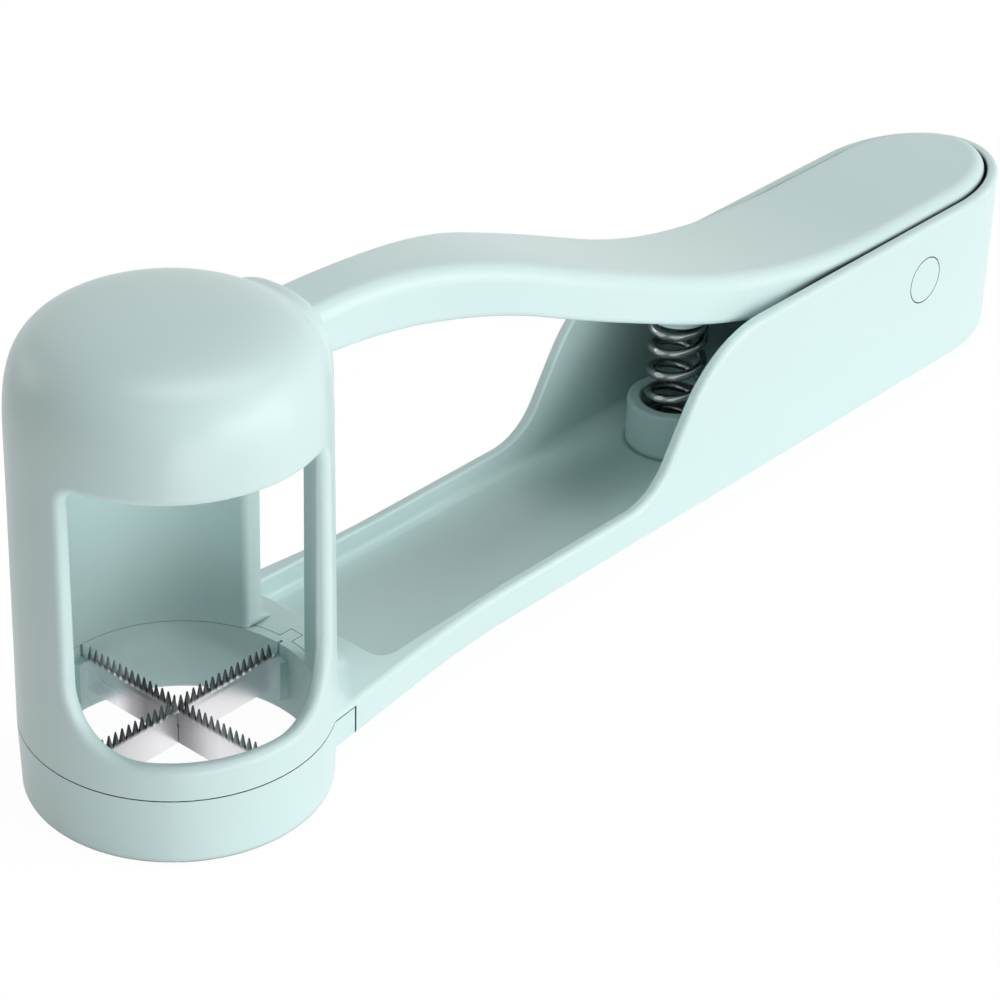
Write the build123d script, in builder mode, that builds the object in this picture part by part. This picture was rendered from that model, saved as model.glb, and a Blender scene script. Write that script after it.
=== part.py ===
# Hand-held press cutter for small fruit.
# A domed tower with a side window stands on a ring that carries two crossed serrated blades.
# A sprung lever, pivoted at the rear of the trough handle, drops a pusher through the tower.
# Millimetres, +Z up, +X from the tower to the rear of the handle, +Y to the closed side of the tower.
from build123d import *
import math
import os

os.makedirs("parts", exist_ok=True)

# Tower
tower_r = 19.0  # outer radius on the ring
tower_draft = 0.32  # how much less its radius is where the dome starts
shoulder_z = 47.1
dome_h = 15.3
dome_side = 0.775  # how full the dome is above its shoulder, as a share of its height
dome_crown = 0.941  # how flat the dome is on top, as a share of its radius
tower_wall = 2.1  # wall around the fruit chamber
roof = 2.1  # wall of the dome at its top

# Side window
window_start = -174.5  # its two upright edges, in degrees about the tower
window_end = -62.0
window_sill_z = 14.5
window_top_z = 48.2
sill_fall = 35.0  # degrees that the sill slopes down into the chamber
window_low_r = 6.5
window_high_r = 2.6
window_soft_r = 1.0  # rounding of its outer rim

# Collar around the arm, and the slot for the arm
collar_half = 8.9
collar_inset = 0.2  # how far its rear stays inside the tower's radius
collar_top_z = 59.4
collar_spring_z = 50.0  # where its sides start to turn in
collar_shoulder = 0.65  # how far up its sides keep straight
collar_crown = 0.75  # how wide its top is flat
collar_soft_r = 2.2
collar_crease_r = 1.6  # hollow between the collar and the dome
slot_gap = 0.45  # each side of the arm
slot_soft_r = 1.1  # rounding of its edges in the chamber
slot_corner_r = 1.5

# Trough handle
handle_half = 12.4
handle_end_x = 161.0
handle_nose = 18.4  # length of the half-elliptic rear end
handle_z0 = 4.97
low_rim_z = 9.9
high_rim_z = 29.0
rise_x = 74.6  # foot of the slope between the two rims
rise_deg = 58.6
rise_low_r = 8.8
rise_high_r = 17.7
heel_r = 8.0  # rear lower corner seen from the side
rim_outer_r = 0.75  # rounding of the rims, outside and inside
rim_inner_r = 0.45
belly_r = 0.6  # rounding of the lower edges
deck_crease_r = 2.0  # hollow between the tower and the deck
wall = 1.66
floor_t = 1.55
flare_inset = 3.1  # how much less than the tower's radius its half width is there
flare_front_x = 10.0
flare_back_x = 46.0
flare_pull = 12.0  # length of the flare's curve handles
flare_lean = 1.3
pocket_gap = 4.3  # between the tower and the front end of the trough
pocket_front_half = 11.4
pocket_corner_r = 2.0
pocket_soft_r = 1.2

# Pivot
pivot_x = 133.64
pivot_z = 20.45
pivot_pin_r = 1.75
pivot_boss_r = 5.0
pivot_boss_t = 1.6
cap_r = 3.35
cap_t = 0.95
cap_gap = 0.16
run_gap = 0.05  # radial clearance of a turning pin
side_gap = 0.3  # between faces that pass each other
press_deg = 16.0  # stroke of the lever

# Lever
arm_top_z = 56.5
arm_half = 4.4
arm_crest_x = 22.0
arm_crest_r = 88.0
arm_fall = 22.8  # degrees of the straight middle of the arm
arm_sag_r = 120.0
pad_top_z = 30.3
lever_depth = 7.0
pad_gap = 0.35
arm_neck_x = 26.0
arm_swell_x = 42.0
arm_swell_half = 5.7
arm_hip_x = 66.0
arm_hip_half = 8.7
arm_waist_x = 80.0
arm_waist_half = 8.75
arm_tail_x = 98.0
arm_tail_half = 9.4
arm_tip_l = 3.0  # narrow tip behind the eye, and the taper after it
arm_belly = 14.0  # curve handle under the arm
block_r = 5.2
lever_top_r = 2.0
lever_low_r = 0.8
eye_half = 3.0
pad_wall = 2.2  # walls and skin of the cored pad
pad_skin = 2.6
pad_pocket_r = 1.5

# Pusher
pusher_x = 2.1
pusher_gap = 2.7  # between its rim and the chamber's wall
pusher_soft_r = 0.4
pusher_low_z = 46.4
foot_h = 2.5
plate_t = 1.2
feet_gap = 3.0
eye_r = 2.9
pusher_pin_r = 1.2
ear_t = 1.9

# Spring and its seats
spring_x = 93.3
spring_r = 3.38  # to the middle of the wire
wire_r = 0.48
spring_turns = 6.25
end_pitch = 1.45
spring_start = -29.0  # angle of its lower end
cup_r = 6.4
cup_bore_r = 4.5
cup_top_z = 13.2
cup_soft_r = 0.5
seat_r = 4.1
seat_z = 25.8
stub_r = 2.4
stub_l = 2.6

# Blade base
foot_draft = 0.26  # how much less the ring's radius is on the table
foot_soft_r = 0.4
ring_h = 9.04
seam = 0.15
lip_gap = 0.1
lip_wall = 1.3
key_half = 0.95
key_l = 1.9
ear_x = 14.4
ear_slit = 0.3
pad_l = 1.1  # how far the blade pads stand in from the chamber's wall
pad_half = 1.4
pad_spread = 0.7
pad_z0 = 2.4
pad_z1 = 8.1

# Blades
blade_t = 0.4
blade_bite = 0.7  # how far the blade ends reach into the ring
blade_z0 = 3.9
blade_z1 = 8.4
tooth_h = 2.0
tooth_pitch = 1.05
tooth_tip = 0.08
edge_t = 0.12
grind_h = 0.8
lap_gap = 0.05

# Forms that cut
over = 1.0  # how far they run past the faces they meet
slot_run = 6.0  # how far the slot's form reaches to each side of the tower's wall

# Sizes that follow from the ones above
shoulder_r = tower_r - tower_draft
bore_r = tower_r - tower_wall
collar_rear_x = tower_r - collar_inset
foot_r = tower_r - foot_draft
flare_half = tower_r - flare_inset
pocket_x = tower_r + pocket_gap
pusher_r = bore_r - pusher_gap
pad_r = bore_r - pad_l
blade_half_l = bore_r + blade_bite
tower_x = tower_r - (tower_r + handle_end_x) / 2
plan = Plane(origin=(tower_x, 0, 0), x_dir=(1, 0, 0), z_dir=(0, 0, 1))
side = Plane(origin=(tower_x, 0, 0), x_dir=(1, 0, 0), z_dir=(0, -1, 0))
across = Plane(origin=(tower_x, 0, 0), x_dir=(0, 1, 0), z_dir=(1, 0, 0))
tower_axis = Axis((tower_x, 0, 0), (0, 0, 1))
dome_top_z = shoulder_z + dome_h
ceiling_z = dome_top_z - roof
slot_half = arm_half + slot_gap
slot_top_z = arm_top_z + side_gap
floor_z = handle_z0 + floor_t
inner_half = handle_half - wall
nose_x = handle_end_x - handle_nose
lip_r = bore_r + lip_wall
tower_foot_z = ring_h + seam
rise_run = (high_rim_z - low_rim_z) / math.tan(math.radians(rise_deg))
boss_face = inner_half - pivot_boss_t
block_half = boss_face - side_gap
pad_half_w = inner_half - pad_gap
eye_z = arm_top_z - eye_r
fall = math.radians(arm_fall)

# Arched collar behind the tower, down to the deck
with BuildPart() as collar:
    with BuildSketch(across) as collar_profile:
        with BuildLine() as collar_line:
            Line((0, low_rim_z - over), (collar_half, low_rim_z - over))
            Line((collar_half, low_rim_z - over), (collar_half, collar_spring_z))
            Bezier(
                (collar_half, collar_spring_z),
                (collar_half, collar_spring_z + collar_shoulder * (collar_top_z - collar_spring_z)),
                (collar_crown * collar_half, collar_top_z),
                (0, collar_top_z),
            )
            mirror(about=Plane.YZ)
        make_face()
    extrude(amount=collar_rear_x)
    collar_rear = collar.faces().filter_by(Axis.X).sort_by(Axis.X)[-1]
    fillet(collar_rear.edges().sort_by(Axis.Z)[1:], radius=collar_soft_r)

# Inside of the trough handle
with BuildPart() as trough:
    with BuildSketch(plan.offset(floor_z)) as trough_plan:
        with BuildLine() as trough_line:
            Line((pocket_x, 0), (pocket_x, pocket_front_half))
            Line((pocket_x, pocket_front_half), (flare_back_x, inner_half))
            Line((flare_back_x, inner_half), (nose_x, inner_half))
            EllipticalCenterArc((nose_x, 0), handle_nose - wall, inner_half, start_angle=0, arc_size=90)
            mirror(about=Plane.XZ)
        make_face()
        fillet(trough_plan.vertices().group_by(Axis.X)[0].sort_by(Axis.Y)[0], radius=pocket_corner_r)
        fillet(trough_plan.vertices().group_by(Axis.X)[0].sort_by(Axis.Y)[-1], radius=pocket_corner_r)
    extrude(amount=high_rim_z - floor_z + over)
    fillet(trough.faces().sort_by(Axis.Z)[0].edges(), radius=pocket_soft_r)
    with BuildSketch(side) as trough_side:
        with Locations((handle_end_x - wall, floor_z)):
            Rectangle(handle_end_x, 2 * high_rim_z, align=(Align.MAX, Align.MIN))
        fillet(trough_side.vertices().group_by(Axis.Y)[0].sort_by(Axis.X)[-1], radius=heel_r - wall)
    extrude(amount=handle_half, both=True, mode=Mode.INTERSECT)

# Handle block: the plan outline, cut to the side outline
with BuildPart() as handle:
    with BuildSketch(plan.offset(handle_z0)) as handle_plan:
        with BuildLine() as handle_line:
            Line((0, 0), (0, flare_half))
            Line((0, flare_half), (flare_front_x, flare_half))
            Bezier(
                (flare_front_x, flare_half),
                (flare_front_x + flare_pull, flare_half - flare_lean),
                (flare_back_x - flare_pull, handle_half),
                (flare_back_x, handle_half),
            )
            Line((flare_back_x, handle_half), (nose_x, handle_half))
            EllipticalCenterArc((nose_x, 0), handle_nose, handle_half, start_angle=0, arc_size=90)
            mirror(about=Plane.XZ)
        make_face()
    extrude(amount=high_rim_z - handle_z0)
    with BuildSketch(side) as handle_side:
        with BuildLine() as rim_line:
            Polyline(
                (0, handle_z0),
                (handle_end_x + over, handle_z0),
                (handle_end_x + over, high_rim_z),
                (rise_x + rise_run, high_rim_z),
                (rise_x, low_rim_z),
                (0, low_rim_z),
                close=True,
            )
        make_face()
        fillet(handle_side.vertices().sort_by_distance((handle_end_x, handle_z0, 0))[0], radius=heel_r)
        fillet(handle_side.vertices().sort_by_distance((rise_x, low_rim_z, 0))[0], radius=rise_low_r)
        rise_top = handle_side.vertices().sort_by_distance((rise_x + rise_run, high_rim_z, 0))[0]
        fillet(rise_top, radius=rise_high_r)
    extrude(amount=flare_half + over, both=True, mode=Mode.INTERSECT)
    behind = tower_x + pusher_x
    upward = handle.faces().filter_by(lambda f: f.normal_at().Z > 0.2)
    rim = upward.edges().filter_by(Axis.Y, reverse=True).filter_by(lambda e: (e @ 0.5).X > behind)
    fillet(rim, radius=rim_outer_r)
    belly = handle.faces().filter_by(lambda f: f.normal_at().Z < -0.2)
    belly_edge = belly.edges().filter_by(Axis.Y, reverse=True).filter_by(lambda e: (e @ 0.5).X > behind)
    fillet(belly_edge, radius=belly_r)
    add(trough.part, mode=Mode.SUBTRACT)
    rim = handle.edges(Select.LAST).filter_by(Axis.Z, reverse=True).filter_by(lambda e: e.length > wall)
    front_rim = rim.filter_by(lambda e: (e @ 0.5).X < tower_x + nose_x and (e @ 0.5).Z > low_rim_z - 0.01)
    rear_rim = rim.filter_by(lambda e: (e @ 0.5).X > tower_x + nose_x and (e @ 0.5).Z > high_rim_z - 0.01)
    fillet(front_rim + rear_rim, radius=rim_inner_r)

# Cutting forms: the side window and the arm's slot
start_dir = Vector(1, 0, 0).rotate(Axis.Z, window_start)
window_edge = Plane(origin=(tower_x, 0, 0), x_dir=start_dir, z_dir=start_dir.rotate(Axis.Z, -90))
with BuildPart() as window:
    with BuildSketch(window_edge) as window_profile:
        sill_slope = math.tan(math.radians(sill_fall))
        with BuildLine() as window_line:
            Polyline(
                (bore_r - 4 * over, window_sill_z - (tower_r - bore_r + 4 * over) * sill_slope),
                (tower_r + 2 * over, window_sill_z + 2 * over * sill_slope),
                (tower_r + 2 * over, window_top_z),
                (bore_r - 4 * over, window_top_z),
                close=True,
            )
        make_face()
    revolve(axis=tower_axis, revolution_arc=window_end - window_start)
    upright = window.faces().filter_by(GeomType.PLANE).filter_by(lambda f: abs(f.normal_at().Z) < 0.5)
    corners = upright.edges().filter_by(Axis.Z, reverse=True).group_by(Axis.Z)
    fillet(corners[0], radius=window_low_r)
    upright = window.faces().filter_by(GeomType.PLANE).filter_by(lambda f: abs(f.normal_at().Z) < 0.5)
    corners = upright.edges().filter_by(Axis.Z, reverse=True).group_by(Axis.Z)
    fillet(corners[-1], radius=window_high_r)

with BuildPart() as slot:
    with BuildSketch(across.offset(bore_r - slot_run)) as slot_outline:
        with BuildLine() as slot_line:
            Polyline(
                (-slot_half, low_rim_z),
                (slot_half, low_rim_z),
                (slot_half, slot_top_z),
                (-slot_half, slot_top_z),
                close=True,
            )
        make_face()
        fillet(slot_outline.vertices().group_by(Axis.Y)[-1], radius=slot_corner_r)
    extrude(amount=collar_rear_x - bore_r + 2 * slot_run)

# Body: tower, collar and handle in one moulding
with BuildPart() as body:
    with BuildSketch(across) as tower_profile:
        with BuildLine() as tower_line:
            Line((0, tower_foot_z), (tower_r, tower_foot_z))
            Line((tower_r, tower_foot_z), (shoulder_r, shoulder_z))
            Bezier(
                (shoulder_r, shoulder_z),
                (shoulder_r, shoulder_z + dome_side * dome_h),
                (dome_crown * shoulder_r, dome_top_z),
                (0, dome_top_z),
            )
            Line((0, dome_top_z), (0, tower_foot_z))
        make_face()
    revolve(axis=tower_axis)
    add(collar.part)
    add(handle.part)
    # Chamber and the inside of the dome
    with BuildSketch(across) as chamber_profile:
        with BuildLine() as chamber_line:
            Line((0, 0), (bore_r, 0))
            Line((bore_r, 0), (bore_r, shoulder_z))
            Bezier(
                (bore_r, shoulder_z),
                (bore_r, shoulder_z + dome_side * (ceiling_z - shoulder_z)),
                (dome_crown * bore_r, ceiling_z),
                (0, ceiling_z),
            )
            Line((0, ceiling_z), (0, 0))
        make_face()
    revolve(axis=tower_axis, mode=Mode.SUBTRACT)
    # Seat for the blade base: ring, ears, lip and key
    with BuildSketch(plan) as seat_outline:
        Circle(tower_r + seam)
        with Locations(((ear_x + ear_slit) / 2 - tower_r / 2, 0)):
            Rectangle(ear_x + ear_slit + tower_r, 2 * (flare_half + over))
    extrude(amount=tower_foot_z, mode=Mode.SUBTRACT)
    with BuildSketch(plan) as lip_outline:
        Circle(lip_r + lip_gap)
    extrude(amount=low_rim_z + lip_gap, mode=Mode.SUBTRACT)
    with BuildSketch(plan) as key_outline:
        with Locations((lip_r, 0)):
            Rectangle(2 * (key_l + lip_gap), 2 * (key_half + lip_gap))
    extrude(amount=low_rim_z, mode=Mode.SUBTRACT)
    # Spring cup and the bosses of the pivot pin
    with BuildSketch(plan.offset(floor_z - wall / 2)) as cup_outline:
        with Locations((spring_x, 0)):
            Circle(cup_r)
    extrude(amount=cup_top_z - floor_z + wall / 2)
    with BuildSketch(plan.offset(floor_z)) as cup_bore_outline:
        with Locations((spring_x, 0)):
            Circle(cup_bore_r)
    extrude(amount=cup_top_z, mode=Mode.SUBTRACT)
    cup_rim = body.edges().filter_by(lambda e: abs(e.center().Z - cup_top_z) < 0.01)
    fillet(cup_rim.filter_by(GeomType.CIRCLE), radius=cup_soft_r)
    for outward in (1, -1):
        with BuildSketch(side.offset(-outward * boss_face)) as boss_outline:
            with Locations((pivot_x, pivot_z)):
                Circle(pivot_boss_r)
        extrude(amount=-outward * (pivot_boss_t + wall / 2))
        with BuildSketch(side.offset(-outward * handle_half)) as cap_outline:
            with Locations((pivot_x, pivot_z)):
                Circle(cap_r + cap_gap)
        extrude(amount=outward * cap_t, mode=Mode.SUBTRACT)
    with BuildSketch(side) as pin_outline:
        with Locations((pivot_x, pivot_z)):
            Circle(pivot_pin_r)
    extrude(amount=handle_half, both=True, mode=Mode.SUBTRACT)
    # Openings of the tower
    add(slot.part, mode=Mode.SUBTRACT)
    add(window.part, mode=Mode.SUBTRACT)
    # Soft rims of the window, outside and inside
    window_side_x = tower_x + tower_r * math.cos(math.radians(window_end)) + window_low_r / 4
    window_low_z = window_sill_z - 3 * over
    rim_band = tower_draft + lip_gap
    from_axis = lambda e: math.hypot((e @ 0.5).X - tower_x, (e @ 0.5).Y)
    for face_r, soft_r in ((tower_r, window_soft_r), (bore_r, window_soft_r / 2)):
        near_side = body.edges().filter_by(lambda e: (e @ 0.5).Y < 0 and (e @ 0.5).X < window_side_x)
        near_side = near_side.filter_by(lambda e: window_low_z < (e @ 0.5).Z < window_top_z + over)
        rim = near_side.filter_by(lambda e: abs(from_axis(e) - face_r) < rim_band)
        fillet(rim.filter_by(lambda e: e.length > window_soft_r), radius=soft_r)
    # Hollows between the collar, the dome and the deck
    over_wall = body.edges().filter_by(lambda e: bore_r - 3 * over < (e @ 0.5).X - tower_x < bore_r)
    crease = over_wall.filter_by(lambda e: slot_half + lip_gap < abs((e @ 0.5).Y) < collar_half + lip_gap)
    fillet(crease.filter_by(GeomType.BSPLINE), radius=collar_crease_r)
    deck_edges = body.edges().filter_by(lambda e: abs((e @ 0.5).Z - low_rim_z) < 0.01)
    foot = deck_edges.filter_by(Axis.X, reverse=True).filter_by(lambda e: abs((e @ 0.5).Y) > slot_half)
    foot = foot.filter_by(lambda e: (e @ 0.5).X > tower_x + handle_half)
    foot = foot.filter_by(lambda e: from_axis(e) < tower_r + collar_crease_r)
    fillet(foot, radius=deck_crease_r)
    # Soft edge of the slot in the chamber
    in_slot = body.edges().filter_by(Axis.X, reverse=True)
    in_slot = in_slot.filter_by(lambda e: abs((e @ 0.5).Y) < slot_half + 0.01)
    in_slot = in_slot.filter_by(lambda e: low_rim_z + seam < (e @ 0.5).Z < slot_top_z + lip_gap)
    slot_front = in_slot.filter_by(lambda e: bore_r - 3 * over < (e @ 0.5).X - tower_x < bore_r)
    fillet(slot_front, radius=slot_soft_r)
body.part.label = "body"
export_step(body.part, "parts/body.step")

# Blade base: a ring with ears, a locating lip, a key at the rear and four slotted pads
with BuildPart() as ears:
    add(handle.part)
    with BuildSketch(plan.offset(handle_z0)) as ear_limits:
        with Locations((ear_x / 2, 0)):
            Rectangle(ear_x, 2 * (flare_half + over))
    extrude(amount=ring_h - handle_z0, mode=Mode.INTERSECT)

with BuildPart() as blade_base:
    with BuildSketch(side) as ring_profile:
        with BuildLine() as ring_line:
            Polyline(
                (bore_r, 0),
                (foot_r, 0),
                (tower_r, ring_h),
                (lip_r, ring_h),
                (lip_r, low_rim_z),
                (bore_r, low_rim_z),
                close=True,
            )
        make_face()
    revolve(axis=tower_axis)
    fillet(blade_base.edges().group_by(Axis.Z)[0], radius=foot_soft_r)
    add(ears.part)
    with BuildSketch(plan.offset(handle_z0)) as key_plan:
        with Locations((lip_r + (key_l - lip_gap) / 2, 0)):
            Rectangle(key_l + lip_gap, 2 * key_half)
    extrude(amount=low_rim_z - handle_z0)
    with BuildSketch(plan) as ring_bore:
        Circle(bore_r)
    extrude(amount=ring_h, mode=Mode.SUBTRACT)
    with BuildSketch(plan.offset(pad_z0)) as pad_outline:
        with PolarLocations(0, 4):
            Polygon(
                (pad_r, -pad_half),
                (pad_r, pad_half),
                (bore_r + over, pad_half + pad_spread),
                (bore_r + over, -pad_half - pad_spread),
                align=None,
            )
    extrude(amount=pad_z1 - pad_z0)
    with BuildSketch(plan.offset(blade_z0)) as blade_seats:
        with PolarLocations(0, 2, angular_range=180):
            Rectangle(2 * blade_half_l, blade_t)
    extrude(amount=low_rim_z - blade_z0, mode=Mode.SUBTRACT)
blade_base.part.label = "blade_base"
export_step(blade_base.part, "parts/blade_base.step")

# Blades: toothed strips with a ground edge, half-lapped at the crossing
tooth_count = int(2 * pad_r / tooth_pitch)
lap_z = (blade_z0 + blade_z1) / 2
lap_w = blade_t + 2 * lap_gap
with BuildPart() as strip:
    with BuildSketch(side) as strip_outline:
        with Locations((0, lap_z)):
            Rectangle(2 * blade_half_l, blade_z1 - blade_z0)
        with Locations((0, blade_z1)):
            with GridLocations(tooth_pitch, 0, tooth_count, 1):
                Polygon(
                    (-tooth_pitch / 2, -edge_t),
                    (tooth_pitch / 2, -edge_t),
                    (tooth_pitch / 2, 0),
                    (tooth_tip, tooth_h),
                    (-tooth_tip, tooth_h),
                    (-tooth_pitch / 2, 0),
                    align=None,
                )
    extrude(amount=blade_t / 2, both=True)
    with BuildSketch(across) as grind_outline:
        Polygon(
            (-blade_t / 2, blade_z0),
            (blade_t / 2, blade_z0),
            (blade_t / 2, blade_z1 - grind_h),
            (edge_t / 2, blade_z1 + tooth_h),
            (-edge_t / 2, blade_z1 + tooth_h),
            (-blade_t / 2, blade_z1 - grind_h),
            align=None,
        )
    extrude(amount=blade_half_l, both=True, mode=Mode.INTERSECT)

with BuildPart() as long_blade:
    add(strip.part)
    with BuildSketch(side) as lower_lap:
        with Locations((0, (blade_z0 + lap_z) / 2)):
            Rectangle(lap_w, lap_z - blade_z0)
    extrude(amount=blade_t, both=True, mode=Mode.SUBTRACT)
long_blade.part.label = "long_blade"
export_step(long_blade.part, "parts/long_blade.step")

with BuildPart() as cross_blade:
    with Locations(plan):
        add(strip.part.moved(Location((-tower_x, 0, 0))), rotation=(0, 0, 90))
    with BuildSketch(side) as upper_lap:
        with Locations((0, lap_z)):
            Rectangle(lap_w, blade_z1 - lap_z + tooth_h + over, align=(Align.CENTER, Align.MIN))
    extrude(amount=blade_t, both=True, mode=Mode.SUBTRACT)
cross_blade.part.label = "cross_blade"
export_step(cross_blade.part, "parts/cross_blade.step")

# Lever: the side outline of the S-curved arm and pad, cut to its plan outline
crest_end_x = arm_crest_x + arm_crest_r * math.sin(fall)
crest_end_z = arm_top_z - arm_crest_r * (1 - math.cos(fall))
sag_start_z = pad_top_z + arm_sag_r * (1 - math.cos(fall))
sag_start_x = crest_end_x + (crest_end_z - sag_start_z) / math.tan(fall)
sag_end_x = sag_start_x + arm_sag_r * math.sin(fall)
lever_end_x = handle_end_x - wall - pad_gap
pocket_front_x = spring_x + seat_r + pad_wall
pocket_mid_x = pivot_x - block_r - pad_wall
pocket_rear_x = pivot_x + block_r + pad_wall
pocket_end_x = lever_end_x - handle_nose / 2
with BuildPart() as lever:
    with BuildSketch(plan.offset(pivot_z)) as lever_plan:
        with BuildLine() as lever_plan_line:
            Polyline(
                (pusher_x - eye_r - over, 0),
                (pusher_x - eye_r - over, eye_half),
                (pusher_x + eye_r + arm_tip_l, eye_half),
                (pusher_x + eye_r + 2 * arm_tip_l, arm_half),
                (arm_neck_x, arm_half),
            )
            Spline(
                (arm_neck_x, arm_half),
                (arm_swell_x, arm_swell_half),
                (arm_hip_x, arm_hip_half),
                (arm_waist_x, arm_waist_half),
                (arm_tail_x, arm_tail_half),
                (sag_end_x, pad_half_w),
                tangents=[(1, 0), (1, 0)],
            )
            Line((sag_end_x, pad_half_w), (nose_x, pad_half_w))
            EllipticalCenterArc((nose_x, 0), lever_end_x - nose_x, pad_half_w, start_angle=0, arc_size=90)
            mirror(about=Plane.XZ)
        make_face()
    extrude(amount=dome_top_z - pivot_z)
    with BuildSketch(side) as lever_side:
        with BuildLine() as lever_side_line:
            Line((pusher_x, arm_top_z), (arm_crest_x, arm_top_z))
            JernArc((arm_crest_x, arm_top_z), (1, 0), arm_crest_r, -arm_fall)
            Line((crest_end_x, crest_end_z), (sag_start_x, sag_start_z))
            JernArc((sag_start_x, sag_start_z), (math.cos(fall), -math.sin(fall)), arm_sag_r, arm_fall)
            Line((sag_end_x, pad_top_z), (lever_end_x, pad_top_z))
            Line((lever_end_x, pad_top_z), (lever_end_x, pad_top_z - lever_depth))
            Line((lever_end_x, pad_top_z - lever_depth), (sag_end_x, pad_top_z - lever_depth))
            JernArc(
                (sag_start_x, sag_start_z - lever_depth),
                (math.cos(fall), -math.sin(fall)),
                arm_sag_r,
                arm_fall,
            )
            Line((sag_start_x, sag_start_z - lever_depth), (crest_end_x, crest_end_z - lever_depth))
            Bezier(
                (crest_end_x, crest_end_z - lever_depth),
                (crest_end_x - arm_belly, crest_end_z - lever_depth + arm_belly * math.tan(fall)),
                (arm_crest_x, eye_z - eye_r),
                (pusher_x, eye_z - eye_r),
            )
            ThreePointArc((pusher_x, eye_z - eye_r), (pusher_x - eye_r, eye_z), (pusher_x, arm_top_z))
        make_face()
    extrude(amount=pad_half_w + over, both=True, mode=Mode.INTERSECT)
    # Soft upper edge and slightly eased lower edge
    behind_eye = tower_x + pusher_x + eye_r + 2 * arm_tip_l
    for towards, soft_r in ((1, lever_top_r), (-1, lever_low_r)):
        facing = lever.faces().filter_by(lambda f: towards * f.normal_at().Z > 0.7)
        rim = facing.edges().filter_by(lambda e: abs(e.center().Y) > slot_gap and e.center().X > behind_eye)
        fillet(rim, radius=soft_r)
    # Pockets that core the pad from below
    with BuildSketch(plan.offset(pad_top_z - lever_depth)) as pockets:
        with Locations(((pocket_front_x + pocket_mid_x) / 2, 0)):
            RectangleRounded(pocket_mid_x - pocket_front_x, 2 * (pad_half_w - pad_wall), pad_pocket_r)
        with Locations(((pocket_rear_x + pocket_end_x) / 2, 0)):
            RectangleRounded(pocket_end_x - pocket_rear_x, 2 * (pad_half_w - pad_wall), pad_pocket_r)
    extrude(amount=lever_depth - pad_skin, mode=Mode.SUBTRACT)
    # Pivot block and the seat of the spring
    with BuildSketch(side) as block_outline:
        with Locations((pivot_x, pivot_z)):
            Circle(block_r)
        with Locations((pivot_x, (pivot_z + pad_top_z - over) / 2)):
            Rectangle(2 * block_r, pad_top_z - over - pivot_z)
    extrude(amount=block_half, both=True)
    with BuildSketch(plan.offset(seat_z)) as seat_outline_low:
        with Locations((spring_x, 0)):
            Circle(seat_r)
    extrude(amount=lever_depth - pad_wall)
    with BuildSketch(plan.offset(seat_z)) as stub_outline:
        with Locations((spring_x, 0)):
            Circle(stub_r)
    extrude(amount=-stub_l)
    for outward in (1, -1):
        with BuildSketch(side.offset(-outward * block_half)) as boss_clearance:
            with Locations((pivot_x, pivot_z)):
                Circle(pivot_boss_r + side_gap)
        extrude(amount=-outward * pad_half_w, mode=Mode.SUBTRACT)
    with BuildSketch(side) as lever_bores:
        with Locations((pivot_x, pivot_z)):
            Circle(pivot_pin_r + run_gap)
        with Locations((pusher_x, eye_z)):
            Circle(pusher_pin_r + run_gap)
    extrude(amount=pad_half_w, both=True, mode=Mode.SUBTRACT)
lever.part.label = "lever"
export_step(lever.part, "parts/lever.step")

# Pusher: a plate with two ears above and four quadrant feet below
reach = math.hypot(pivot_x - pusher_x, eye_z - pivot_z)
rest_angle = math.atan2(eye_z - pivot_z, pivot_x - pusher_x)
low_angle = rest_angle - math.radians(press_deg)
pusher_shift = pusher_x - (pivot_x - reach * math.cos(low_angle))
pusher_drop = eye_z - pivot_z - reach * math.sin(low_angle)
plate_z = pusher_low_z + foot_h
with BuildPart() as pusher:
    with BuildSketch(plan.offset(pusher_low_z)) as pusher_outline:
        with Locations((pusher_x, 0)):
            Circle(pusher_r)
    extrude(amount=foot_h + plate_t)
    fillet(pusher.edges(), radius=pusher_soft_r)
    with BuildSketch(plan.offset(pusher_low_z)) as feet_slots:
        with Locations((pusher_shift, 0)):
            Rectangle(feet_gap, 2 * pusher_r)
        with Locations((pusher_x, 0)):
            Rectangle(2 * pusher_r, feet_gap)
    extrude(amount=foot_h, mode=Mode.SUBTRACT)
    for outward in (1, -1):
        with BuildSketch(side.offset(-outward * (eye_half + side_gap))) as ear_outline:
            with Locations((pusher_x, eye_z)):
                Circle(eye_r)
            with Locations((pusher_x, (plate_z + eye_z) / 2)):
                Rectangle(2 * eye_r, eye_z - plate_z)
        extrude(amount=-outward * ear_t)
    with BuildSketch(side) as ear_bore:
        with Locations((pusher_x, eye_z)):
            Circle(pusher_pin_r)
    extrude(amount=pusher_r, both=True, mode=Mode.SUBTRACT)
pusher.part.label = "pusher"
export_step(pusher.part, "parts/pusher.step")

with BuildPart() as pusher_pin:
    with BuildSketch(side) as pusher_pin_outline:
        with Locations((pusher_x, eye_z)):
            Circle(pusher_pin_r)
    extrude(amount=eye_half + side_gap + ear_t, both=True)
    chamfer(pusher_pin.edges(), length=0.2)
pusher_pin.part.label = "pusher_pin"
export_step(pusher_pin.part, "parts/pusher_pin.step")

with BuildPart() as pivot_pin:
    with BuildSketch(side) as pivot_pin_outline:
        with Locations((pivot_x, pivot_z)):
            Circle(pivot_pin_r)
    extrude(amount=handle_half - cap_t, both=True)
    chamfer(pivot_pin.edges(), length=0.2)
pivot_pin.part.label = "pivot_pin"
export_step(pivot_pin.part, "parts/pivot_pin.step")

with BuildPart() as pin_caps:
    for outward in (1, -1):
        with BuildSketch(side.offset(-outward * (handle_half - cap_t))) as cap_disc:
            with Locations((pivot_x, pivot_z)):
                Circle(cap_r)
        extrude(amount=-outward * cap_t)
pin_caps.part.label = "pin_caps"
export_step(pin_caps.part, "parts/pin_caps.step")

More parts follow.
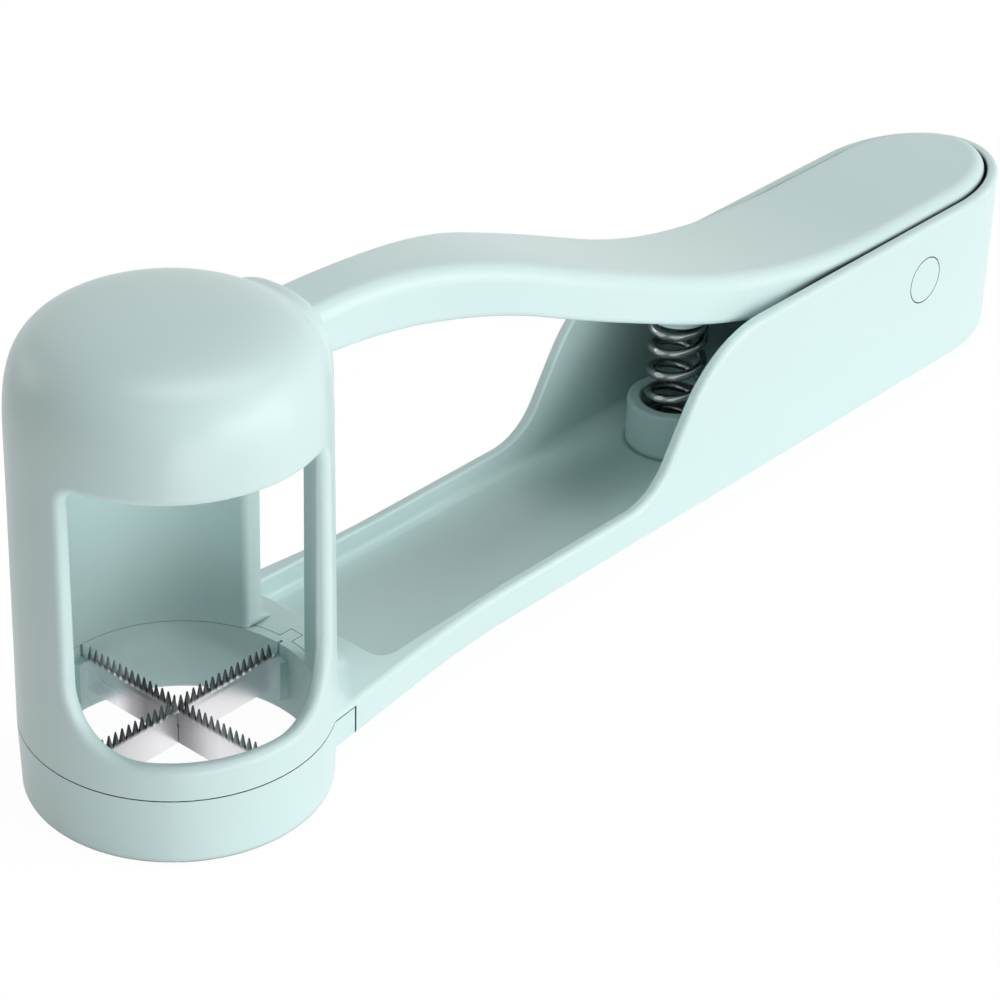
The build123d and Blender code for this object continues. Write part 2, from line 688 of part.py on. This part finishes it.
# Spring: one wire wound on biarcs of a quarter turn, with closer turns at both ends
spring_z0 = floor_z + wire_r
spring_z1 = seat_z - wire_r
body_rise = (spring_z1 - spring_z0 - 2 * end_pitch) / (spring_turns - 2)
quarters = int(round(4 * spring_turns))
rises = [end_pitch / 4 if k < 4 or k >= quarters - 4 else body_rise / 4 for k in range(quarters)]
knots = []
for k in range(quarters + 1):
    turn = math.radians(spring_start + 90 * k)
    height = spring_z0 + sum(rises[:k])
    slope = (rises[max(k - 1, 0)] + rises[min(k, quarters - 1)]) / 2 / (spring_r * math.pi / 2)
    along = Vector(-math.sin(turn), math.cos(turn), slope).normalized()
    knots.append((Vector(spring_r * math.cos(turn), spring_r * math.sin(turn), height), along))
centre = Vector(tower_x + spring_x, 0, 0)
with BuildPart() as spring:
    with BuildLine() as wire_path:
        first, first_dir = knots[0]
        last, last_dir = knots[-1]
        Line(centre + first - first_dir * 2 * wire_r, centre + first)
        for (start, start_dir), (end, end_dir) in zip(knots, knots[1:]):
            chord = end - start
            both = start_dir + end_dir
            spread = 2 * (1 - start_dir.dot(end_dir))
            reach_b = math.sqrt(chord.dot(both) ** 2 + spread * chord.dot(chord)) - chord.dot(both)
            reach_b = reach_b / spread
            joint = (start + end + (start_dir - end_dir) * reach_b) / 2
            joint_dir = (end - end_dir * reach_b - start - start_dir * reach_b).normalized()
            TangentArc(centre + start, centre + joint, tangent=start_dir)
            TangentArc(centre + joint, centre + end, tangent=joint_dir)
        Line(centre + last, centre + last + last_dir * 2 * wire_r)
    with BuildSketch(Plane(origin=wire_path.line @ 0, z_dir=wire_path.line % 0)) as wire_section:
        Circle(wire_r)
    sweep()
wire_points = [wire_path.line @ (k / (16 * quarters)) for k in range(16 * quarters + 1)]
spring_gap = min(
    (a - b).length
    for i, a in enumerate(wire_points)
    for b in wire_points[i + 32 :]
) - 2 * wire_r
spring.part.label = "spring"
export_step(spring.part, "parts/spring.step")
print("least gap of the spring to itself", round(spring_gap, 2), "mm")
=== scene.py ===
# A hand-held press cutter for small fruit, standing on its blade ring.
# A sprung lever drives a pusher down a domed tower and through two crossed serrated blades.
import math
import bmesh
import bpy
from mathutils import Matrix, Vector


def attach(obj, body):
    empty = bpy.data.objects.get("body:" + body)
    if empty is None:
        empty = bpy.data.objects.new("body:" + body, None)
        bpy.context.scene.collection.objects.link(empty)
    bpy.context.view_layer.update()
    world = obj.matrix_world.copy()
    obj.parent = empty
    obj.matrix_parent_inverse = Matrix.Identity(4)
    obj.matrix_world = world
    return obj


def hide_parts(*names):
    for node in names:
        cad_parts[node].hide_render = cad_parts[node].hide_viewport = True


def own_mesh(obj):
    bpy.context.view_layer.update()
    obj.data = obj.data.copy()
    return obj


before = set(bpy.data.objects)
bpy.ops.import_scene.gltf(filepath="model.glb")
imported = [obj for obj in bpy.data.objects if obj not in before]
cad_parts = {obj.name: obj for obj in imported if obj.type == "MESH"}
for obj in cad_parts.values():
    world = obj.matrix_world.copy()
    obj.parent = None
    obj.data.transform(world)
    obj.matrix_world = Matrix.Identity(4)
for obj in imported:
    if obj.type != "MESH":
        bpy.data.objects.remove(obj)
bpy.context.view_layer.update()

# ---------------------------------------------------------------- Camera
# A long lens a little above the tower, looking along the handle from the
# front left, with the slight roll of a hand-held shot.
heading = math.radians(40.709)
tilt = math.radians(31.709)
roll = math.radians(1.824)
lens_place = (-0.29012, -0.23808, 0.23786)
camera_data = bpy.data.cameras.new("camera")
camera_data.sensor_width = 36.0
camera_data.lens = 119.07
camera_data.clip_start = 0.01
camera_data.clip_end = 20.0
camera = bpy.data.objects.new("camera", camera_data)
camera.matrix_world = (
    Matrix.Translation(lens_place)
    @ Matrix.Rotation(heading - math.pi / 2, 4, "Z")
    @ Matrix.Rotation(math.pi / 2 - tilt, 4, "X")
    @ Matrix.Rotation(roll, 4, "Z")
)
bpy.context.scene.collection.objects.link(camera)
bpy.context.scene.camera = camera
bpy.context.scene.view_settings.view_transform = "Standard"

# ---------------------------------------------------------------- Floor and room
# A sheet of matt white board, wide enough to run out of every view. It bounces
# light up at the object. To the lens it is a thin white film that keeps a faint
# shadow and lets the blade base show through where it has dropped below.
floor_z = -0.0001
floor_half = 3.0
board = bmesh.new()
bmesh.ops.create_grid(board, x_segments=1, y_segments=1, size=floor_half)
bmesh.ops.translate(board, verts=board.verts, vec=(0, 0, floor_z))
floor_mesh = bpy.data.meshes.new("floor")
board.to_mesh(floor_mesh)
board.free()
floor = bpy.data.objects.new("floor", floor_mesh)
bpy.context.scene.collection.objects.link(floor)


def any_ray(nodes, links, kinds):
    """A socket that is 1 for rays of any of these kinds."""
    path = nodes.new("ShaderNodeLightPath")
    found = path.outputs[kinds[0]]
    for kind in kinds[1:]:
        either = nodes.new("ShaderNodeMath")
        either.operation = "MAXIMUM"
        links.new(found, either.inputs[0])
        links.new(path.outputs[kind], either.inputs[1])
        found = either.outputs[0]
    return found


board_finish = bpy.data.materials.new("white_board")
board_finish.use_nodes = True
nodes, links = board_finish.node_tree.nodes, board_finish.node_tree.links
nodes.clear()
board_out = nodes.new("ShaderNodeOutputMaterial")
board_matt = nodes.new("ShaderNodeBsdfDiffuse")
board_matt.inputs["Color"].default_value = (0.80, 0.80, 0.80, 1)
board_faint = nodes.new("ShaderNodeBsdfDiffuse")
board_faint.inputs["Color"].default_value = (0.35, 0.35, 0.35, 1)
board_lift = nodes.new("ShaderNodeEmission")
board_lift.inputs["Strength"].default_value = 0.80
board_white = nodes.new("ShaderNodeAddShader")
board_clear = nodes.new("ShaderNodeBsdfTransparent")
board_film = nodes.new("ShaderNodeMixShader")
board_film.inputs[0].default_value = 0.20
board_top = nodes.new("ShaderNodeMixShader")
board_side = nodes.new("ShaderNodeNewGeometry")
board_seen = nodes.new("ShaderNodeMixShader")
board_mix = nodes.new("ShaderNodeMixShader")
board_lens = any_ray(nodes, links, ("Is Camera Ray",))
board_passed = any_ray(nodes, links, ("Is Glossy Ray", "Is Transmission Ray", "Is Shadow Ray"))
links.new(board_faint.outputs[0], board_white.inputs[0])
links.new(board_lift.outputs[0], board_white.inputs[1])
links.new(board_clear.outputs[0], board_film.inputs[1])
links.new(board_white.outputs[0], board_film.inputs[2])
links.new(board_side.outputs["Backfacing"], board_top.inputs[0])
links.new(board_film.outputs[0], board_top.inputs[1])
links.new(board_clear.outputs[0], board_top.inputs[2])
links.new(board_lens, board_seen.inputs[0])
links.new(board_matt.outputs[0], board_seen.inputs[1])
links.new(board_top.outputs[0], board_seen.inputs[2])
links.new(board_passed, board_mix.inputs[0])
links.new(board_seen.outputs[0], board_mix.inputs[1])
links.new(board_clear.outputs[0], board_mix.inputs[2])
links.new(board_mix.outputs[0], board_out.inputs["Surface"])
floor_mesh.materials.append(board_finish)

# The room: walls that fade towards a dark ceiling, and plain white to the lens and
# to reflections.
room = bpy.data.worlds.new("room")
bpy.context.scene.world = room
room.use_nodes = True
nodes, links = room.node_tree.nodes, room.node_tree.links
nodes.clear()
room_out = nodes.new("ShaderNodeOutputWorld")
room_place = nodes.new("ShaderNodeTexCoord")
room_height = nodes.new("ShaderNodeSeparateXYZ")
room_ramp = nodes.new("ShaderNodeValToRGB")
room_ramp.color_ramp.elements[0].position = 0.0
room_ramp.color_ramp.elements[0].color = (1, 1, 1, 1)
room_ramp.color_ramp.elements[1].position = 1.0
room_ramp.color_ramp.elements[1].color = (0, 0, 0, 1)
room_light = nodes.new("ShaderNodeBackground")
room_light.inputs["Strength"].default_value = 0.30
room_white = nodes.new("ShaderNodeBackground")
room_white.inputs["Color"].default_value = (1, 1, 1, 1)
room_white.inputs["Strength"].default_value = 1.0
room_seen = any_ray(nodes, links, ("Is Camera Ray", "Is Glossy Ray", "Is Transmission Ray"))
room_mix = nodes.new("ShaderNodeMixShader")
links.new(room_place.outputs["Generated"], room_height.inputs[0])
links.new(room_height.outputs["Z"], room_ramp.inputs[0])
links.new(room_ramp.outputs[0], room_light.inputs["Color"])
links.new(room_seen, room_mix.inputs[0])
links.new(room_light.outputs[0], room_mix.inputs[1])
links.new(room_white.outputs[0], room_mix.inputs[2])
links.new(room_mix.outputs[0], room_out.inputs["Surface"])

# Round soft boxes around the object: a row on the side that the lens sees, two of
# them low to fill under the dome and the rim, one overhead and a weak one behind.
box_distance = 1.3
box_width = 0.7
aim_z = 0.03
for name, azimuth, height, watts in (
    ("low_left_box", 240, -12, 4.7),
    ("front_box", 270, 10, 4.0),
    ("low_right_box", 300, 0, 3.0),
    ("front_right_box", 300, 25, 4.1),
    ("high_right_box", 330, 65, 2.7),
    ("back_box", 110, 15, 1.6),
    ("overhead_box", 0, 88, 5.0),
):
    round_about, up = math.radians(azimuth), math.radians(height)
    level = math.cos(up)
    outward = Vector((math.cos(round_about) * level, math.sin(round_about) * level, math.sin(up)))
    lamp = bpy.data.lights.new(name, "AREA")
    lamp.shape = "DISK"
    lamp.size = box_width
    lamp.energy = watts
    holder = bpy.data.objects.new(name, lamp)
    facing = (-outward).to_track_quat("-Z", "Y").to_matrix().to_4x4()
    holder.matrix_world = Matrix.Translation(box_distance * outward + Vector((0, 0, aim_z))) @ facing
    bpy.context.scene.collection.objects.link(holder)

# ---------------------------------------------------------------- Tower and handle
# One moulding of pale mint ABS: the domed tower with its side window, the collar
# for the arm, and the trough handle. The steel mould is spark-eroded to a fine
# satin, which is slightly glossier where hands rub it.
tower_axis_x = -0.071
# Radius round the tower axis inside which the mint gets no painted crevice shade
unshaded_chamber_r = 0.0174
mint = (0.62, 0.79, 0.778)
satin_skin = bpy.data.node_groups.new("satin_skin", "ShaderNodeTree")
for name, kind, way in (
    ("Colour", "NodeSocketColor", "INPUT"),
    ("Grain size", "NodeSocketFloat", "INPUT"),
    ("Colour", "NodeSocketColor", "OUTPUT"),
    ("Roughness", "NodeSocketFloat", "OUTPUT"),
    ("Height", "NodeSocketFloat", "OUTPUT"),
):
    satin_skin.interface.new_socket(name, in_out=way, socket_type=kind)
nodes, links = satin_skin.nodes, satin_skin.links
skin_in = nodes.new("NodeGroupInput")
skin_out = nodes.new("NodeGroupOutput")
skin_place = nodes.new("ShaderNodeTexCoord")
# Slow drift of colour where the melt cooled at different rates
melt = nodes.new("ShaderNodeTexNoise")
melt.inputs["Scale"].default_value = 22.0
melt.inputs["Detail"].default_value = 2.0
melt_shade = nodes.new("ShaderNodeMapRange")
melt_shade.inputs["From Min"].default_value = 0.3
melt_shade.inputs["From Max"].default_value = 0.7
melt_shade.inputs["To Min"].default_value = 0.985
melt_shade.inputs["To Max"].default_value = 1.012
melt_colour = nodes.new("ShaderNodeMix")
melt_colour.data_type = "RGBA"
melt_colour.blend_type = "MULTIPLY"
melt_colour.inputs["Factor"].default_value = 1.0
# Spark-eroded pits
grain = nodes.new("ShaderNodeTexNoise")
grain.inputs["Detail"].default_value = 3.0
grain.inputs["Roughness"].default_value = 0.6
# Patches that fingers have polished
rub = nodes.new("ShaderNodeTexNoise")
rub.inputs["Scale"].default_value = 60.0
rub.inputs["Detail"].default_value = 4.0
rub_rough = nodes.new("ShaderNodeMapRange")
rub_rough.inputs["From Min"].default_value = 0.35
rub_rough.inputs["From Max"].default_value = 0.65
rub_rough.inputs["To Min"].default_value = 0.31
rub_rough.inputs["To Max"].default_value = 0.37
links.new(skin_place.outputs["Object"], melt.inputs["Vector"])
links.new(skin_place.outputs["Object"], grain.inputs["Vector"])
links.new(skin_place.outputs["Object"], rub.inputs["Vector"])
links.new(skin_in.outputs["Grain size"], grain.inputs["Scale"])
links.new(melt.outputs["Fac"], melt_shade.inputs["Value"])
links.new(skin_in.outputs["Colour"], melt_colour.inputs["A"])
links.new(melt_shade.outputs["Result"], melt_colour.inputs["B"])
links.new(rub.outputs["Fac"], rub_rough.inputs["Value"])
links.new(melt_colour.outputs["Result"], skin_out.inputs["Colour"])
links.new(rub_rough.outputs["Result"], skin_out.inputs["Roughness"])
links.new(grain.outputs["Fac"], skin_out.inputs["Height"])


def mint_plastic(name):
    finish = bpy.data.materials.new(name)
    finish.use_nodes = True
    nodes, links = finish.node_tree.nodes, finish.node_tree.links
    shell = nodes["Principled BSDF"]
    shell.inputs["IOR"].default_value = 1.50
    shell.inputs["Specular IOR Level"].default_value = 0.45
    skin = nodes.new("ShaderNodeGroup")
    skin.node_tree = satin_skin
    skin.inputs["Colour"].default_value = (*mint, 1)
    skin.inputs["Grain size"].default_value = 2600.0
    pits = nodes.new("ShaderNodeBump")
    pits.inputs["Strength"].default_value = 0.035
    pits.inputs["Distance"].default_value = 0.0002
    # Painted shade: an ambient-occlusion mask darkens the colour in narrow gaps and seams between
    # the mouldings, except inside the chamber around the tower axis
    crevice = nodes.new("ShaderNodeAmbientOcclusion")
    crevice.samples = 8
    crevice.inputs["Distance"].default_value = 0.0012
    crevice_painted_shade = nodes.new("ShaderNodeMapRange")
    crevice_painted_shade.inputs["From Min"].default_value = 0.30
    crevice_painted_shade.inputs["From Max"].default_value = 0.80
    crevice_painted_shade.inputs["To Min"].default_value = 0.06
    crevice_painted_shade.inputs["To Max"].default_value = 1.0
    place = nodes.new("ShaderNodeTexCoord")
    from_axis = nodes.new("ShaderNodeVectorMath")
    from_axis.operation = "SUBTRACT"
    from_axis.inputs[1].default_value = (tower_axis_x, 0, 0)
    flat = nodes.new("ShaderNodeVectorMath")
    flat.operation = "MULTIPLY"
    flat.inputs[1].default_value = (1, 1, 0)
    reach = nodes.new("ShaderNodeVectorMath")
    reach.operation = "LENGTH"
    outside = nodes.new("ShaderNodeMapRange")
    outside.inputs["From Min"].default_value = unshaded_chamber_r
    outside.inputs["From Max"].default_value = unshaded_chamber_r + 0.0004
    shade = nodes.new("ShaderNodeMix")
    shade.data_type = "RGBA"
    shade.blend_type = "MULTIPLY"
    links.new(crevice.outputs["AO"], crevice_painted_shade.inputs["Value"])
    links.new(place.outputs["Object"], from_axis.inputs[0])
    links.new(from_axis.outputs[0], flat.inputs[0])
    links.new(flat.outputs[0], reach.inputs[0])
    links.new(reach.outputs["Value"], outside.inputs["Value"])
    links.new(outside.outputs["Result"], shade.inputs["Factor"])
    links.new(skin.outputs["Colour"], shade.inputs["A"])
    links.new(crevice_painted_shade.outputs["Result"], shade.inputs["B"])
    links.new(shade.outputs["Result"], shell.inputs["Base Color"])
    links.new(skin.outputs["Roughness"], shell.inputs["Roughness"])
    links.new(skin.outputs["Height"], pits.inputs["Height"])
    links.new(pits.outputs["Normal"], shell.inputs["Normal"])
    return finish


def finish_node(node, material):
    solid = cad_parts[node]
    if not solid.material_slots:
        solid.data.materials.append(material)
    for slot in solid.material_slots:
        slot.material = material


finish_node("body", mint_plastic("mint_body"))

# ---------------------------------------------------------------- Blade base
# The loose foot ring under the tower, moulded in the same mint. Four pads inside
# it hold the blade ends. A lip and a key locate it in the tower, and its two ears
# close the notches beside the deck.
finish_node("blade_base", mint_plastic("mint_base"))

# ---------------------------------------------------------------- Blades
# Two strips of 0.4 mm stainless steel, half-lapped at the middle. The coil mill leaves a grain along
# the strip, and the teeth are painted dark as shade, darker on the long blade than on the cross
# blade.
tooth_shade_start_z = 0.0082
tooth_shade_full_z = 0.0087
tooth_pitch = 0.00105
strip_half = 0.017
mill_grain = bpy.data.node_groups.new("mill_grain", "ShaderNodeTree")
for name, kind, way in (
    ("Along", "NodeSocketVector", "INPUT"),
    ("Streak", "NodeSocketFloat", "OUTPUT"),
    ("Height above table", "NodeSocketFloat", "OUTPUT"),
):
    mill_grain.interface.new_socket(name, in_out=way, socket_type=kind)
nodes, links = mill_grain.nodes, mill_grain.links
mill_in = nodes.new("NodeGroupInput")
mill_out = nodes.new("NodeGroupOutput")
mill_place = nodes.new("ShaderNodeTexCoord")
mill_stretch = nodes.new("ShaderNodeVectorMath")
mill_stretch.operation = "MULTIPLY"
mill_streak = nodes.new("ShaderNodeTexNoise")
mill_streak.inputs["Scale"].default_value = 1.0
mill_streak.inputs["Detail"].default_value = 4.0
mill_height = nodes.new("ShaderNodeSeparateXYZ")
links.new(mill_place.outputs["Object"], mill_stretch.inputs[0])
links.new(mill_place.outputs["Object"], mill_height.inputs[0])
links.new(mill_in.outputs["Along"], mill_stretch.inputs[1])
links.new(mill_stretch.outputs[0], mill_streak.inputs["Vector"])
links.new(mill_streak.outputs["Fac"], mill_out.inputs["Streak"])
links.new(mill_height.outputs["Z"], mill_out.inputs["Height above table"])


def bare_steel(name, along, colour, rough_low, rough_high):
    finish = bpy.data.materials.new(name)
    finish.use_nodes = True
    nodes, links = finish.node_tree.nodes, finish.node_tree.links
    metal = nodes["Principled BSDF"]
    metal.inputs["Metallic"].default_value = 1.0
    metal.inputs["Base Color"].default_value = (*colour, 1)
    grain = nodes.new("ShaderNodeGroup")
    grain.name = "grain"
    grain.node_tree = mill_grain
    grain.inputs["Along"].default_value = along
    rough = nodes.new("ShaderNodeMapRange")
    rough.inputs["From Min"].default_value = 0.3
    rough.inputs["From Max"].default_value = 0.7
    rough.inputs["To Min"].default_value = rough_low
    rough.inputs["To Max"].default_value = rough_high
    lines = nodes.new("ShaderNodeBump")
    lines.name = "lines"
    lines.inputs["Strength"].default_value = 0.004
    lines.inputs["Distance"].default_value = 0.000005
    links.new(grain.outputs["Streak"], rough.inputs["Value"])
    links.new(rough.outputs["Result"], metal.inputs["Roughness"])
    links.new(grain.outputs["Streak"], lines.inputs["Height"])
    links.new(lines.outputs["Normal"], metal.inputs["Normal"])
    return finish


strip_colour = (0.88, 0.87, 0.90)
# Place along the strip from its middle, in metres, with the share of the steel's colour kept there
# by the painted reflection
long_painted_reflection = ((-0.013, 0.66), (-0.010, 0.72), (-0.003, 1.0))
cross_painted_reflection = (
    (-0.0075, 0.90),
    (-0.0054, 0.74),
    (-0.0038, 0.54),
    (-0.0024, 0.38),
    (-0.0008, 0.28),
    (0.0055, 0.22),
    (0.0080, 0.48),
    (0.0094, 0.80),
    (0.0104, 1.0),
)
for blade, grain_scale, way, tooth_shade_colour, reflection_stops in (
    ("long_blade", (30.0, 6000.0, 6000.0), (1, 0, 0), (0.15, 0.17, 0.17), long_painted_reflection),
    ("cross_blade", (6000.0, 30.0, 6000.0), (0, 1, 0), (0.33, 0.35, 0.35), cross_painted_reflection),
):
    steel = bare_steel(blade + "_steel", grain_scale, strip_colour, 0.27, 0.31)
    nodes, links = steel.node_tree.nodes, steel.node_tree.links
    metal, grain, lines = nodes["Principled BSDF"], nodes["grain"], nodes["lines"]
    # Painted shade, from the roots of the teeth upward
    above_root = nodes.new("ShaderNodeMapRange")
    above_root.inputs["From Min"].default_value = tooth_shade_start_z
    above_root.inputs["From Max"].default_value = tooth_shade_full_z
    tooth_shade = nodes.new("ShaderNodeMix")
    tooth_shade.data_type = "RGBA"
    tooth_shade.inputs["A"].default_value = (*strip_colour, 1)
    tooth_shade.inputs["B"].default_value = (*tooth_shade_colour, 1)
    links.new(grain.outputs["Height above table"], above_root.inputs["Value"])
    links.new(above_root.outputs["Result"], tooth_shade.inputs["Factor"])
    # Each tooth is ground to a ridge, with a flank to either side
    place = nodes.new("ShaderNodeTexCoord")
    from_middle = nodes.new("ShaderNodeVectorMath")
    from_middle.operation = "SUBTRACT"
    from_middle.inputs[1].default_value = (tower_axis_x, 0, 0)
    along_strip = nodes.new("ShaderNodeVectorMath")
    along_strip.operation = "DOT_PRODUCT"
    along_strip.inputs[1].default_value = way
    flank = nodes.new("ShaderNodeMath")
    flank.operation = "PINGPONG"
    flank.inputs[1].default_value = tooth_pitch / 2
    flank_height = nodes.new("ShaderNodeMath")
    flank_height.operation = "MULTIPLY"
    ridges = nodes.new("ShaderNodeBump")
    ridges.inputs["Strength"].default_value = 1.0
    ridges.inputs["Distance"].default_value = 0.45
    links.new(place.outputs["Object"], from_middle.inputs[0])
    links.new(from_middle.outputs[0], along_strip.inputs[0])
    links.new(along_strip.outputs["Value"], flank.inputs[0])
    links.new(flank.outputs[0], flank_height.inputs[0])
    links.new(above_root.outputs["Result"], flank_height.inputs[1])
    links.new(flank_height.outputs[0], ridges.inputs["Height"])
    links.new(lines.outputs["Normal"], ridges.inputs["Normal"])
    links.new(ridges.outputs["Normal"], metal.inputs["Normal"])
    # Painted reflection: the steel's colour is darkened along the strip, most beside the half-lap,
    # standing in for the dark parts mirrored in it
    strip_place = nodes.new("ShaderNodeMapRange")
    strip_place.inputs["From Min"].default_value = -strip_half
    strip_place.inputs["From Max"].default_value = strip_half
    strip_painted_reflection = nodes.new("ShaderNodeValToRGB")
    stops = strip_painted_reflection.color_ramp.elements
    for position, value in reflection_stops:
        stops.new((position + strip_half) / (2 * strip_half)).color = (value, value, value, 1)
    stops[0].color = stops[1].color
    stops[-1].color = stops[-2].color
    reflection_darkened = nodes.new("ShaderNodeMix")
    reflection_darkened.data_type = "RGBA"
    reflection_darkened.blend_type = "MULTIPLY"
    reflection_darkened.inputs["Factor"].default_value = 1.0
    links.new(along_strip.outputs["Value"], strip_place.inputs["Value"])
    links.new(strip_place.outputs["Result"], strip_painted_reflection.inputs[0])
    links.new(tooth_shade.outputs["Result"], reflection_darkened.inputs["A"])
    links.new(strip_painted_reflection.outputs["Color"], reflection_darkened.inputs["B"])
    links.new(reflection_darkened.outputs["Result"], metal.inputs["Base Color"])
    finish_node(blade, steel)

# ---------------------------------------------------------------- Lever
# The long arm and the thumb pad in one moulding, in the body's mint. It turns on
# the pivot pin at the rear of the trough and carries the pusher at its front.
finish_node("lever", mint_plastic("mint_lever"))

# ---------------------------------------------------------------- Pusher
# A disc with four feet that pass between the blades, hung from the tip of the arm
# by two ears, in the same mint plastic.
finish_node("pusher", mint_plastic("mint_pusher"))

# ---------------------------------------------------------------- Pins and caps
# Turned steel pins for the pusher and the lever, and two mint plastic plugs
# that close the pivot's holes on both sides of the handle.
turned_grain = (6000.0, 300.0, 6000.0)
pin_grey = (0.62, 0.62, 0.63)
for pin in ("pusher_pin", "pivot_pin"):
    finish_node(pin, bare_steel(pin + "_steel", turned_grain, pin_grey, 0.18, 0.30))
finish_node("pin_caps", mint_plastic("mint_caps"))

# ---------------------------------------------------------------- Return spring
# A compression spring of 1.3 mm music wire, right-handed, with its end turns
# closed. It stands in the cup of the trough and pushes up on the lever.
spring_x = 0.0223
spring_r = 0.00345
wire_r = 0.00066
cup_floor_z = 0.00652
lever_seat_z = 0.0258
spring_low = cup_floor_z + wire_r
spring_high = lever_seat_z - wire_r
spring_turns = 6.25
closed_pitch = 0.00145
open_pitch = (spring_high - spring_low - 2 * closed_pitch) / (spring_turns - 2)
first_turn = math.radians(-29.0)
turn_steps = 40
wire_sides = 14
coil = bmesh.new()
bmesh.ops.create_circle(coil, cap_ends=False, segments=wire_sides, radius=wire_r)
upright = Matrix.Rotation(math.pi / 2, 3, "X")
bmesh.ops.rotate(coil, verts=coil.verts, cent=(0, 0, 0), matrix=upright)
bmesh.ops.translate(coil, verts=coil.verts, vec=(spring_r, 0, spring_low))
to_first_turn = Matrix.Rotation(first_turn, 3, "Z")
bmesh.ops.rotate(coil, verts=coil.verts, cent=(0, 0, 0), matrix=to_first_turn)
open_end = list(coil.edges)
for turns, pitch in ((1.0, closed_pitch), (spring_turns - 2, open_pitch), (1.0, closed_pitch)):
    count = round(turn_steps * turns)
    grown = bmesh.ops.spin(
        coil,
        geom=open_end,
        cent=(0, 0, 0),
        axis=(0, 0, 1),
        dvec=(0, 0, pitch * turns / count),
        angle=2 * math.pi * turns,
        steps=count,
        use_merge=False,
    )
    open_end = [item for item in grown["geom_last"] if isinstance(item, bmesh.types.BMEdge)]
bmesh.ops.holes_fill(coil, edges=[e for e in coil.edges if e.is_boundary], sides=0)
bmesh.ops.translate(coil, verts=coil.verts, vec=(spring_x, 0, 0))
bmesh.ops.recalc_face_normals(coil, faces=coil.faces)
for face in coil.faces:
    face.smooth = len(face.verts) == 4
coil_mesh = bpy.data.meshes.new("return_spring")
coil.to_mesh(coil_mesh)
coil.free()
return_spring = bpy.data.objects.new("return_spring", coil_mesh)
bpy.context.scene.collection.objects.link(return_spring)
drawn_grain = (900.0, 900.0, 900.0)
wire_grey = (0.34, 0.355, 0.35)
coil_mesh.materials.append(bare_steel("spring_wire", drawn_grain, wire_grey, 0.12, 0.2))
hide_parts("spring")
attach(return_spring, "frame")
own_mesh(return_spring)
